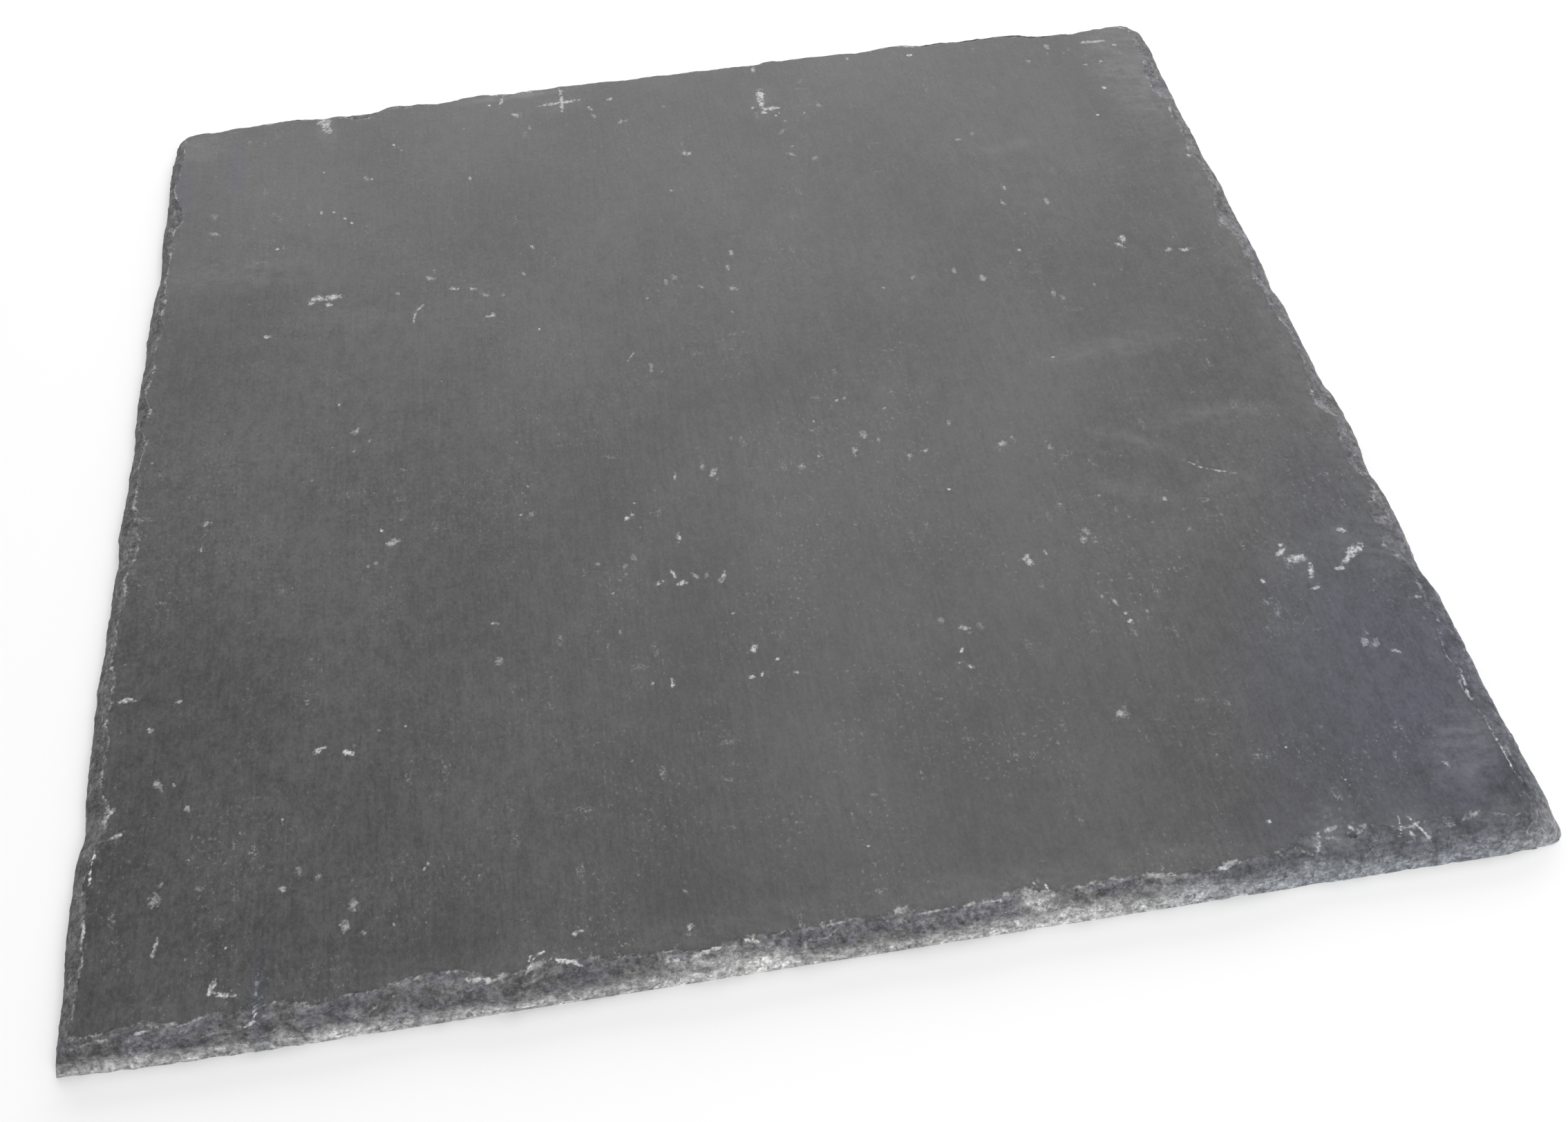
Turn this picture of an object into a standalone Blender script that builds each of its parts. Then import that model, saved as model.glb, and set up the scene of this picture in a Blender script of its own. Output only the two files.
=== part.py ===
"""A square slab of natural slate: a hard, flat surface to stamp, cut and skive leather on.

It is one piece of stone. Its two faces are the stone's own cleavage planes, and its four edges are
dressed by hand, blow by blow, so each edge is a ragged wall with a chipped slope above it.

The origin is on the table under the slab's centre. X runs along the front edge to the right, Y runs
from the front edge to the back edge, and Z is up. All sizes are in metres.
"""

import math

import bmesh
import bpy
import numpy as np

# Overall sizes, measured across the feet of the dressed edges.
WIDTH = 0.300
DEPTH = 0.300
THICKNESS = 0.0065

# The edge, from the table up: a steep wall to the shoulder, then a slope to the top face's rim.
WALL_HEIGHT = 0.0038
WALL_LEAN = {"front": 0.0015, "right": 0.0022, "back": 0.0015, "left": 0.0012}
SLOPE_WIDTH = {"front": 0.0026, "right": 0.0036, "back": 0.0018, "left": 0.0030}

# How far the middle of each side stands out past its two ends.
BOW = {"front": 0.0006, "right": 0.0003, "back": 0.0014, "left": 0.0004}

# The corners, named for the sides that meet there, going round from the front left.
CORNER_RADIUS = {
    "front_left": 0.0018,
    "front_right": 0.0036,
    "back_right": 0.0050,
    "back_left": 0.0060,
}
CORNER_STEPS = 4

# Dressing marks. A station is one point of the outline, and the pitch is how far apart they are.
STATION_PITCH = 0.0026
RAGGED_FOOT = 0.00030
RAGGED_SHOULDER = 0.00030
RAGGED_HEIGHT = 0.00045
SCOOP_LENGTH = (0.006, 0.017)
SCOOP_DEPTH = (0.0002, 0.0014)
SEED = 12

# Larger flakes struck off the top of an edge, as (side, place, half length, extra slope width).
# A place runs from -1 to 1 along its side, counted anticlockwise seen from above.
FLAKES = [
    ("front", -0.73, 0.006, 0.0016),
    ("front", -0.54, 0.009, 0.0030),
    ("front", -0.34, 0.007, 0.0014),
    ("front", 0.28, 0.004, 0.0024),
    ("front", 0.69, 0.005, 0.0030),
    ("front", 0.78, 0.005, 0.0042),
    ("front", 0.91, 0.010, 0.0024),
    ("right", -0.78, 0.014, 0.0012),
    ("right", -0.47, 0.010, 0.0026),
    ("right", -0.16, 0.009, 0.0018),
    ("right", 0.33, 0.008, 0.0022),
    ("right", 0.80, 0.009, 0.0020),
    ("back", -0.84, 0.010, 0.0018),
    ("back", 0.36, 0.007, 0.0016),
    ("back", 0.66, 0.009, 0.0022),
    ("left", -0.76, 0.008, 0.0016),
    ("left", 0.10, 0.010, 0.0012),
    ("left", 0.66, 0.007, 0.0020),
]

# Nicks that reach the foot of an edge, as (side, place, half length, depth).
NICKS = [
    ("right", -0.53, 0.008, 0.0008),
    ("right", -0.30, 0.007, 0.0007),
    ("right", 0.17, 0.006, 0.0009),
    ("right", 0.56, 0.007, 0.0006),
    ("back", -0.78, 0.012, 0.0010),
    ("back", 0.62, 0.008, 0.0009),
    ("left", -0.58, 0.009, 0.0007),
    ("left", 0.14, 0.007, 0.0006),
    ("left", 0.66, 0.006, 0.0008),
]

SLATE_COLOUR = (0.095, 0.096, 0.100, 1.0)
SLATE_ROUGHNESS = 0.62


class Station:
    """One point of the plain outline, with the side it belongs to and the way out of the stone."""

    def __init__(self, side, place, point, outward):
        self.side = side
        self.place = place
        self.point = np.array(point)
        self.outward = np.array(outward)


def clear_scene():
    for old in list(bpy.data.objects):
        bpy.data.objects.remove(old, do_unlink=True)


def side_stations(side, start, end, outward, steps):
    """Stations along one bowed side, from just after its first corner to just before its last."""
    start = np.array(start)
    end = np.array(end)
    stations = []
    for step in range(1, steps):
        share = step / steps
        place = 2 * share - 1
        sag = BOW[side] * place**2
        point = start + (end - start) * share - np.array(outward) * sag
        stations.append(Station(side, place, point, outward))
    return stations


def corner_stations(before, after, centre, radius, first_angle):
    """Stations round a quarter circle between two sides, each keeping the nearer side's name."""
    stations = []
    for step in range(CORNER_STEPS + 1):
        share = step / CORNER_STEPS
        sag = BOW[before] + share * (BOW[after] - BOW[before])
        angle = first_angle + share * math.pi / 2
        outward = np.array((math.cos(angle), math.sin(angle)))
        point = np.array(centre) + outward * (radius - sag)
        if share <= 0.5:
            stations.append(Station(before, 1.0, point, outward))
        else:
            stations.append(Station(after, -1.0, point, outward))
    return stations


def plain_outline(inset):
    """An undressed outline, anticlockwise: bowed sides, each moved in by its inset, and round corners."""
    left = -WIDTH / 2 + inset["left"]
    right = WIDTH / 2 - inset["right"]
    front = -DEPTH / 2 + inset["front"]
    back = DEPTH / 2 - inset["back"]
    fl = CORNER_RADIUS["front_left"]
    fr = CORNER_RADIUS["front_right"]
    br = CORNER_RADIUS["back_right"]
    bl = CORNER_RADIUS["back_left"]
    across = round(WIDTH / STATION_PITCH)
    along = round(DEPTH / STATION_PITCH)
    quarter = math.pi / 2
    outline = side_stations("front", (left + fl, front), (right - fr, front), (0, -1), across)
    outline += corner_stations("front", "right", (right - fr, front + fr), fr, -quarter)
    outline += side_stations("right", (right, front + fr), (right, back - br), (1, 0), along)
    outline += corner_stations("right", "back", (right - br, back - br), br, 0.0)
    outline += side_stations("back", (right - br, back), (left + bl, back), (0, 1), across)
    outline += corner_stations("back", "left", (left + bl, back - bl), bl, quarter)
    outline += side_stations("left", (left, back - bl), (left, front + fl), (-1, 0), along)
    outline += corner_stations("left", "front", (left + fl, front + fl), fl, 2 * quarter)
    return outline


def ragged(random, count, height):
    """A closed run of seeded bumps, each one blended with its neighbours."""
    bumps = random.uniform(-1.0, 1.0, count)
    blended = 0.5 * bumps + 0.25 * (np.roll(bumps, 1) + np.roll(bumps, -1))
    return height * blended


def scoops(random, stations):
    """The shallow hollow that each dressing blow leaves, one after the other round the slab."""
    depths = np.zeros(len(stations))
    first = 0
    while first < len(stations):
        length = random.uniform(*SCOOP_LENGTH)
        depth = random.uniform(*SCOOP_DEPTH)
        count = max(2, round(length / STATION_PITCH))
        for step in range(count):
            across = 2 * step / count - 1
            if first + step < len(stations):
                depths[first + step] = depth * math.sqrt(1 - across**2)
        first += count
    return depths


def hollow(station, side, place, half_length, depth):
    """How deep one flake or nick is at a station: a round hollow, and nothing outside it."""
    if station.side != side:
        return 0.0
    side_length = WIDTH if side in ("front", "back") else DEPTH
    across = (station.place - place) * side_length / 2 / half_length
    if abs(across) >= 1:
        return 0.0
    return depth * math.sqrt(1 - across**2)


def dressed(stations, depths):
    """The outline's points, each moved into the stone by its own depth."""
    return np.array([s.point - s.outward * d for s, d in zip(stations, depths)])


def rings():
    """The rings that the stone is lofted through: the foot, the shoulder and the top face's rim."""
    random = np.random.default_rng(SEED)
    foot = plain_outline(dict.fromkeys(WALL_LEAN, 0.0))
    shoulder = plain_outline(WALL_LEAN)
    rim = plain_outline({side: WALL_LEAN[side] + SLOPE_WIDTH[side] for side in WALL_LEAN})
    count = len(foot)

    foot_depth = np.abs(ragged(random, count, RAGGED_FOOT))
    foot_depth += [max(hollow(s, *nick) for nick in NICKS) for s in foot]
    shoulder_depth = foot_depth + ragged(random, count, RAGGED_SHOULDER)
    rim_depth = shoulder_depth + scoops(random, rim)
    rim_depth += [max(hollow(s, *flake) for flake in FLAKES) for s in rim]
    shoulder_height = WALL_HEIGHT + ragged(random, count, RAGGED_HEIGHT)

    outlines = [dressed(foot, foot_depth), dressed(shoulder, shoulder_depth), dressed(rim, rim_depth)]
    heights = [np.zeros(count), shoulder_height, np.full(count, THICKNESS)]
    # The foot fills the slab's width and depth exactly, centred on the origin.
    low = outlines[0].min(axis=0)
    high = outlines[0].max(axis=0)
    stretch = np.array((WIDTH, DEPTH)) / (high - low)
    return [
        np.column_stack(((outline - (low + high) / 2) * stretch, height))
        for outline, height in zip(outlines, heights)
    ]


def lofted(name, levels):
    """A closed solid through rings: a drum is extruded level by level, then moved onto them."""
    count = len(levels[0])
    stone = bmesh.new()
    bmesh.ops.create_circle(stone, cap_ends=True, segments=count, radius=1.0)
    caps = stone.faces[:]
    for level in range(1, len(levels)):
        risen = bmesh.ops.extrude_face_region(stone, geom=caps)["geom"]
        if level > 1:
            bmesh.ops.delete(stone, geom=caps, context="FACES_ONLY")
        caps = [item for item in risen if isinstance(item, bmesh.types.BMFace)]
        corners = [item for item in risen if isinstance(item, bmesh.types.BMVert)]
        bmesh.ops.translate(stone, verts=corners, vec=(0.0, 0.0, 1.0))
    bmesh.ops.recalc_face_normals(stone, faces=stone.faces[:])
    for vertex in stone.verts:
        level = round(vertex.co.z)
        turn = math.atan2(vertex.co.y, vertex.co.x) / math.tau
        vertex.co = levels[level][round(turn * count) % count]
    mesh = bpy.data.meshes.new(name)
    stone.to_mesh(mesh)
    stone.free()
    return mesh


def slate():
    """Dark grey, matt, with no metal in it."""
    material = bpy.data.materials.new("slate")
    material.use_nodes = True
    shader = material.node_tree.nodes["Principled BSDF"]
    shader.inputs["Base Color"].default_value = SLATE_COLOUR
    shader.inputs["Roughness"].default_value = SLATE_ROUGHNESS
    shader.inputs["Metallic"].default_value = 0.0
    return material


def main():
    clear_scene()
    collection = bpy.data.collections.new("slate_slab_model")
    bpy.context.scene.collection.children.link(collection)
    mesh = lofted("slate_slab", rings())
    mesh.materials.append(slate())
    slab = bpy.data.objects.new("slate_slab", mesh)
    collection.objects.link(slab)


main()
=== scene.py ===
"""The looks of a slate slab: its riven faces, its hand-dressed edges, and the scuffs of use.

Lengths are in millimetres where a name ends in _MM or a table says so, and in metres elsewhere.
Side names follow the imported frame: front is -Y, right is +X, back is +Y and left is -X.
"""

import itertools
import math

import bpy
import numpy as np
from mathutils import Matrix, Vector
from mathutils.geometry import delaunay_2d_cdt


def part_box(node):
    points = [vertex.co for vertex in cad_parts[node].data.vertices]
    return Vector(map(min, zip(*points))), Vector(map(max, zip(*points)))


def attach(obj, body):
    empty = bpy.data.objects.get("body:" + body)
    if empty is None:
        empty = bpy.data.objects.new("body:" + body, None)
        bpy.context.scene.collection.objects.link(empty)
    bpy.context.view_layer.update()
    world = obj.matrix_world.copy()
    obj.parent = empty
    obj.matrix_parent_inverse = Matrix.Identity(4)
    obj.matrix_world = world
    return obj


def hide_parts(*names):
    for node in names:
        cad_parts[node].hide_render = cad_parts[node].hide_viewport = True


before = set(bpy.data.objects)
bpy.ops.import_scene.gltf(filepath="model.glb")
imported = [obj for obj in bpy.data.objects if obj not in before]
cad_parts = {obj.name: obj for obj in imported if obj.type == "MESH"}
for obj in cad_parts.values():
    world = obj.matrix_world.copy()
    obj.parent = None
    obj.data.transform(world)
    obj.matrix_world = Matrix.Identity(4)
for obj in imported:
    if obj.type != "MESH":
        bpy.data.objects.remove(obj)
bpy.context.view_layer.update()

MM = 0.001
LOW, HIGH = (np.array(corner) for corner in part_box("slate_slab"))
TOP = HIGH[2]

# The mesh: stations round the outline, and rows across the edge, from the table to the top face.
STATIONS = 1800
WALL_ROWS = 11
SLOPE_ROWS = 12
LIP_MM = (0.35, 0.7, 1.1, 1.6, 2.2, 3.0)
UNDER_MM = (0.5, 1.3, 3.0)
NEAR_EDGE_MM = 9.0
NEAR_GRID_MM = 1.15
FACE_GRID_MM = 2.6
SCUFF_STEP_MM = 0.7
SCUFF_GRID_MM = 0.12
UNDER_GRID_MM = 5.0

# The dressed edge. How strongly each side is chipped, and how much a chip cuts into its foot.
CHIPPING = {"front": 1.0, "right": 0.9, "back": 1.0, "left": 0.8}
FOOT_SHARE = 0.35
SMOOTHED_STATIONS = 6
CORNER_SHARPNESS = 24
LIP_RISE = 0.42
CHIP_REACH_MM = 14.0
LAYER_MM = 0.45

# Faces that meet at more than this are shaded with a crisp edge.
SHARP_ANGLE = math.radians(32)

# How far the two faces rise and fall.
FACE_RELIEF_MM = 0.22
UNDER_RELIEF_MM = 0.25

# Where each side's outline stands out past the CAD's, or is nicked: x or y, and how far, all in mm.
OUTLINE = {
    "front": [(-150, -0.6), (-140, 0.0), (-90, 0.4), (110, 0.3), (134, 0.9), (150, -0.9)],
    "right": [(-140, 1.3), (-110, 0.0), (-90, 0.8), (-70, 0.0), (-60, 0.5), (-50, -0.2), (-32, 1.4),
              (-15, -0.3), (40, 0.5), (60, 0.0), (66, 0.8), (107, 0.2), (130, 0.7), (150, 0.8)],
    "back": [(-130, 0.0), (-115, 1.4), (-107, -0.6), (-89, 3.0), (-72, 0.4), (-53, 2.5), (-40, 0.6),
             (-15, 1.2), (-5, 0.4), (30, 1.7), (50, 0.8), (77, 2.6), (90, 1.2), (115, 2.8), (130, -0.2)],
    "left": [(-150, -0.6), (-125, 0.0), (-114, 0.9), (-90, 0.2), (-70, 1.0), (-40, 0.3), (-20, 0.8),
             (15, -0.2), (30, 0.4), (70, 0.2), (114, -0.6), (129, 0.3), (145, -0.5)],
}
# How much of that the foot, the shoulder and the rim of each side take.
OUTLINE_SHARES = {
    "front": (1.0, 1.0, 0.8),
    "right": (0.8, 1.0, 0.9),
    "back": (0.1, 0.6, 1.0),
    "left": (0.8, 1.0, 0.9),
}

# How much pale rock dust lies on the front wall, as x in mm and a share, and on the other walls.
FRONT_DUST = [
    (-150, 0.50),
    (-130, 0.50),
    (-105, 0.40),
    (-90, 0.50),
    (-75, 0.48),
    (-45, 0.55),
    (-20, 0.75),
    (-5, 0.50),
    (15, 0.55),
    (25, 0.65),
    (38, 0.75),
    (55, 0.70),
    (75, 0.78),
    (95, 0.75),
    (115, 0.50),
    (128, 0.25),
    (150, 0.45),
]
WALL_DUST = {"right": 0.15, "back": 0.45, "left": 0.30}

# The front right corner is worn down: its place and reach in mm, and the share of height it loses.
WORN_CORNER = (150.0, -150.0, 9.0, 0.45)

# Patches of the front edge that are paler than that: x, z, half length, half height, and how pale.
FRONT_PATCHES = [
    (-138.0, 1.4, 5.0, 1.2, 0.35),
    (-105.8, 3.6, 1.4, 1.2, 0.6),
    (-96.0, 1.4, 7.0, 1.6, 0.3),
    (-60.0, 1.2, 12.0, 1.2, 0.15),
    (-25.0, 4.4, 8.0, 1.0, 0.45),
    (-13.5, 2.4, 5.0, 2.4, 0.8),
    (41.2, 5.2, 2.4, 1.4, 0.8),
    (50.0, 3.2, 8.0, 1.6, 0.25),
    (73.0, 3.6, 8.0, 1.6, 0.25),
    (95.0, 3.0, 6.0, 1.6, 0.20),
    (110.0, 2.4, 9.0, 1.8, 0.35),
    (132.0, 3.6, 11.0, 1.8, 0.60),
    (146.0, 3.0, 6.0, 3.0, 0.45),
]

# How far below the top a scuff or a pit can still show.
SCUFF_DEPTH_MM = 3.2

# Pits and cracks in the front edge, cut in and painted dark as shade: x, y, half length along x, half
# length along y, depth, in mm.
PITS = [
    (-140.5, -147.2, 1.2, 0.8, 0.9),
    (-108.5, -147.3, 1.9, 0.6, 0.6),
    (53.8, -147.2, 1.0, 0.4, 0.6),
    (105.8, -143.7, 1.3, 0.4, 0.6),
    (103.6, -148.2, 0.6, 0.8, 1.0),
]

# Chalky scuffs at the rims: x, y, length, width, turn in degrees from +X, and how pale. In mm.
RIM_SCUFFS = [
    # along the front rim and slope
    (-58.4, -144.2, 4.8, 0.7, 84, 0.50),
    (-56.4, -142.1, 3.0, 0.7, 4, 0.45),
    (-50.8, -144.7, 5.8, 0.9, -19, 0.55),
    (-68.0, -145.4, 7.0, 0.8, -12, 0.35),
    (-66.0, -146.2, 4.0, 0.7, 10, 0.30),
    (-15.4, -146.2, 3.6, 0.8, -14, 0.50),
    (-139.0, -145.6, 3.0, 0.6, 0, 0.30),
    (-132.0, -145.3, 4.0, 0.6, 5, 0.30),
    (-110.3, -140.5, 9.0, 0.8, 88, 0.10),
    (-110.4, -144.6, 3.0, 0.7, 86, 0.40),
    (-111.5, -146.6, 5.0, 0.6, 18, 0.35),
    (-24.0, -146.9, 7.0, 0.7, 6, 0.35),
    (-31.0, -147.2, 4.0, 0.8, -14, 0.40),
    (40.3, -144.3, 4.0, 0.5, 62, 0.40),
    (42.8, -144.3, 4.0, 0.5, -60, 0.40),
    (78.5, -146.4, 3.4, 0.8, 0, 0.50),
    (20.0, -146.0, 9.0, 0.5, 1, 0.25),
    (33.0, -145.8, 7.0, 0.5, 2, 0.28),
    (98.6, -144.0, 5.0, 0.9, 70, 0.25),
    (102.2, -141.6, 4.0, 1.0, 10, 0.22),
    (106.4, -142.6, 4.0, 0.8, -50, 0.25),
    (115.7, -143.4, 5.0, 0.6, 80, 0.45),
    (119.2, -143.8, 7.4, 0.7, -58, 0.45),
    (117.6, -145.4, 3.6, 0.6, -62, 0.35),
    # along the right and left rims
    (143.2, -130.0, 15.0, 0.5, 91, 0.30),
    (142.7, -112.5, 9.0, 0.6, 81, 0.45),
    (-144.9, -138.5, 4.0, 0.6, 90, 0.16),
    (-144.8, -130.5, 3.0, 0.5, 90, 0.16),
    (-144.8, -122.0, 6.0, 0.7, 92, 0.22),
    (-144.8, -110.0, 4.0, 0.6, 90, 0.45),
    (-144.6, -105.0, 4.0, 0.6, 86, 0.50),
]

# The clearer scuffs on the rest of the face, as above, with paleness from 0 to 1.
FACE_SCUFFS = [
    (-103.3, 141.5, 7.0, 2.4, 90, 0.8), (-103.8, 143.5, 4.5, 2.6, 10, 0.7),
    (-102.0, 138.3, 2.8, 1.4, 100, 0.8), (-50.8, 143.0, 6.0, 1.2, 80, 0.8),
    (-54.6, 142.0, 1.5, 1.1, 120, 0.8), (-47.0, 135.4, 3.0, 1.4, 135, 0.8),
    (-32.8, 140.2, 14.0, 1.3, 89, 0.95), (-33.2, 139.0, 12.5, 1.5, 2, 0.9),
    (-25.0, 134.8, 1.3, 1.1, 90, 0.9), (-43.0, 128.0, 1.7, 1.0, 100, 1.0),
    (-62.5, 131.4, 1.1, 0.8, 90, 0.7), (-83.1, 127.4, 1.7, 0.9, 110, 0.8),
    (-103.5, 118.0, 1.4, 1.0, 90, 0.8), (-61.4, 107.0, 1.4, 1.1, 90, 1.0),
    (-103.6, 99.0, 1.6, 0.9, 90, 0.7), (-100.3, 98.8, 1.2, 1.0, 0, 0.9),
    (-97.0, 95.0, 1.6, 1.3, 120, 1.0), (-95.0, 92.8, 1.2, 1.0, 90, 0.9),
    (-107.0, 94.5, 1.0, 0.8, 90, 0.7), (-115.4, 85.0, 1.4, 1.2, 150, 1.0),
    (-5.0, 89.8, 1.3, 0.9, 90, 0.8), (-45.4, 72.2, 2.2, 1.0, 125, 0.9),
    (-103.8, 61.6, 4.6, 2.4, 5, 1.0), (-99.6, 61.6, 5.0, 2.6, 0, 1.0),
    (-100.8, 58.6, 2.2, 1.6, 130, 0.9), (-105.2, 60.2, 2.0, 1.2, 40, 0.8),
    (-116.4, 48.5, 1.9, 1.8, 0, 1.0), (-76.4, 52.6, 3.6, 0.8, 55, 0.7),
    (-78.0, 49.2, 5.2, 0.8, 82, 0.7), (-67.3, 58.8, 2.6, 1.2, -15, 0.95),
    (-58.0, 45.8, 2.6, 1.8, 25, 1.0), (-45.6, 37.8, 1.1, 0.9, 90, 0.9),
    (-22.5, 23.4, 6.0, 0.5, 55, 0.7), (-97.4, 19.0, 1.0, 0.8, 90, 0.8),
    (26.6, 130.8, 5.5, 2.6, 88, 1.0), (26.3, 125.8, 8.5, 1.7, 92, 1.0),
    (23.5, 125.0, 1.7, 1.5, 90, 0.95), (29.0, 123.4, 4.6, 1.9, 0, 1.0),
    (26.4, 121.6, 2.2, 1.6, 90, 0.9), (26.3, 144.6, 2.8, 1.8, 80, 0.8),
    (29.6, 119.4, 1.1, 0.9, 0, 0.8), (55.6, 144.4, 1.8, 1.3, 80, 0.8),
    (74.5, 142.6, 1.7, 1.7, 0, 1.0), (131.0, 138.2, 9.5, 1.3, -3, 0.8),
    (137.3, 135.2, 1.4, 1.2, 0, 0.9), (131.0, 127.4, 1.8, 1.5, 0, 1.0),
    (126.0, 126.8, 1.7, 1.1, 0, 0.85), (128.0, 113.9, 1.6, 1.4, 60, 1.0),
    (122.5, 100.9, 1.2, 1.1, 90, 0.95), (142.6, 76.8, 1.7, 1.4, 90, 0.9),
    (85.0, 45.0, 1.3, 1.1, 0, 0.7), (113.3, 44.6, 3.6, 2.0, 75, 0.9),
    (112.0, 42.0, 3.0, 1.5, 130, 0.8), (124.2, 37.8, 2.4, 1.6, 50, 0.75),
    (128.6, 37.0, 4.2, 1.6, -5, 0.85), (83.0, 2.4, 1.7, 0.8, 0, 0.9),
    (-16.4, -21.4, 3.0, 0.7, 80, 0.8), (-29.2, -32.8, 2.6, 1.0, 60, 1.0),
    (-27.8, -31.8, 1.8, 0.9, 110, 0.9), (-27.0, -28.2, 1.1, 0.8, 0, 0.7),
    (-17.8, -41.0, 2.8, 1.3, 84, 1.0), (-20.2, -51.8, 2.8, 0.8, 112, 0.9),
    (-18.5, -55.0, 2.2, 1.9, 30, 0.95), (-24.0, -54.0, 1.6, 0.8, 70, 0.8),
    (-22.8, -53.4, 1.6, 0.7, 110, 0.7), (-8.8, -54.2, 2.8, 1.2, 75, 0.7),
    (-86.6, -26.0, 1.6, 0.9, 130, 0.9), (-142.0, -66.0, 5.4, 1.2, -4, 0.95),
    (-130.2, -68.4, 1.7, 1.0, 0, 0.8), (-136.0, -75.0, 2.0, 1.3, 120, 0.75),
    (-99.8, -86.8, 2.8, 1.4, 25, 1.0), (-93.6, -88.4, 3.4, 1.5, -30, 1.0),
    (-87.2, -83.8, 1.0, 0.8, 0, 0.8), (-81.6, -83.6, 1.0, 0.8, 0, 0.7),
    (-5.2, -76.2, 2.4, 1.8, 60, 1.0), (-6.6, -84.0, 2.4, 1.2, -15, 1.0),
    (-4.4, -83.6, 1.4, 0.8, 60, 0.8), (-23.9, -82.4, 2.6, 1.1, 86, 0.9),
    (-28.0, -81.8, 1.0, 0.8, 60, 0.7), (-142.0, -94.8, 3.2, 0.9, 60, 0.9),
    (-140.2, -100.8, 4.2, 1.0, 22, 0.75), (-130.4, -128.0, 5.0, 0.9, 80, 0.7),
    (-118.8, -138.6, 3.4, 1.2, 68, 0.95), (-116.6, -140.4, 5.4, 1.1, -14, 0.9),
    (-49.0, -139.0, 3.4, 0.8, 22, 0.7), (47.2, -37.6, 0.9, 0.9, 0, 1.0),
    (105.8, -39.8, 6.0, 0.5, 138, 0.7), (112.0, -43.6, 8.5, 0.5, 156, 0.7),
    (117.0, -70.4, 4.2, 1.5, 40, 1.0), (117.6, -68.4, 2.0, 1.1, 90, 0.9),
    (120.0, -72.8, 4.8, 2.3, 5, 1.0), (121.8, -76.8, 5.4, 1.3, 73, 1.0),
    (121.0, -81.8, 2.2, 1.0, 10, 0.8), (133.6, -72.6, 6.0, 2.5, 28, 1.0),
    (130.8, -75.2, 4.4, 1.4, 35, 0.9), (128.6, -77.2, 3.2, 1.2, 8, 0.85),
    (133.0, -66.4, 3.0, 1.6, -35, 0.85), (140.6, -72.6, 1.8, 1.0, 0, 0.7),
    (110.2, -77.6, 1.8, 1.4, 90, 0.8), (109.0, -83.6, 1.6, 1.0, 120, 0.7),
    (39.8, -84.6, 2.2, 1.0, 60, 0.95), (40.6, -89.4, 2.2, 1.0, 130, 0.75),
    (38.6, -88.0, 1.2, 0.9, 0, 0.7), (77.8, -83.6, 1.3, 1.2, 0, 1.0),
    (77.4, -81.4, 1.0, 0.9, 0, 0.9), (142.0, -88.4, 1.8, 0.9, -20, 0.8),
    (90.4, -138.0, 1.1, 1.0, 0, 1.0), (130.6, -131.2, 2.0, 1.1, 135, 0.95),
    (3.2, -84.4, 1.6, 0.9, 0, 0.8), (-0.4, -80.0, 1.1, 0.9, 0, 0.9),
]
FACE_PALENESS = 0.30

# Fainter scuffs, seeded, in loose clusters that crowd towards the front.
FAINT_SEED = 7
FAINT_CLUSTERS = 48
FAINT_PER_CLUSTER = (2, 5)
FAINT_SPREAD_MM = 4.0
FAINT_LENGTH_MM = (1.2, 3.4)
FAINT_PALENESS = (0.07, 0.20)
FAINT_REACH_MM = 138.0
FAINT_SHAPE = (0.35, 0.75)
FAINT_TURN_SPREAD = 35
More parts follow.
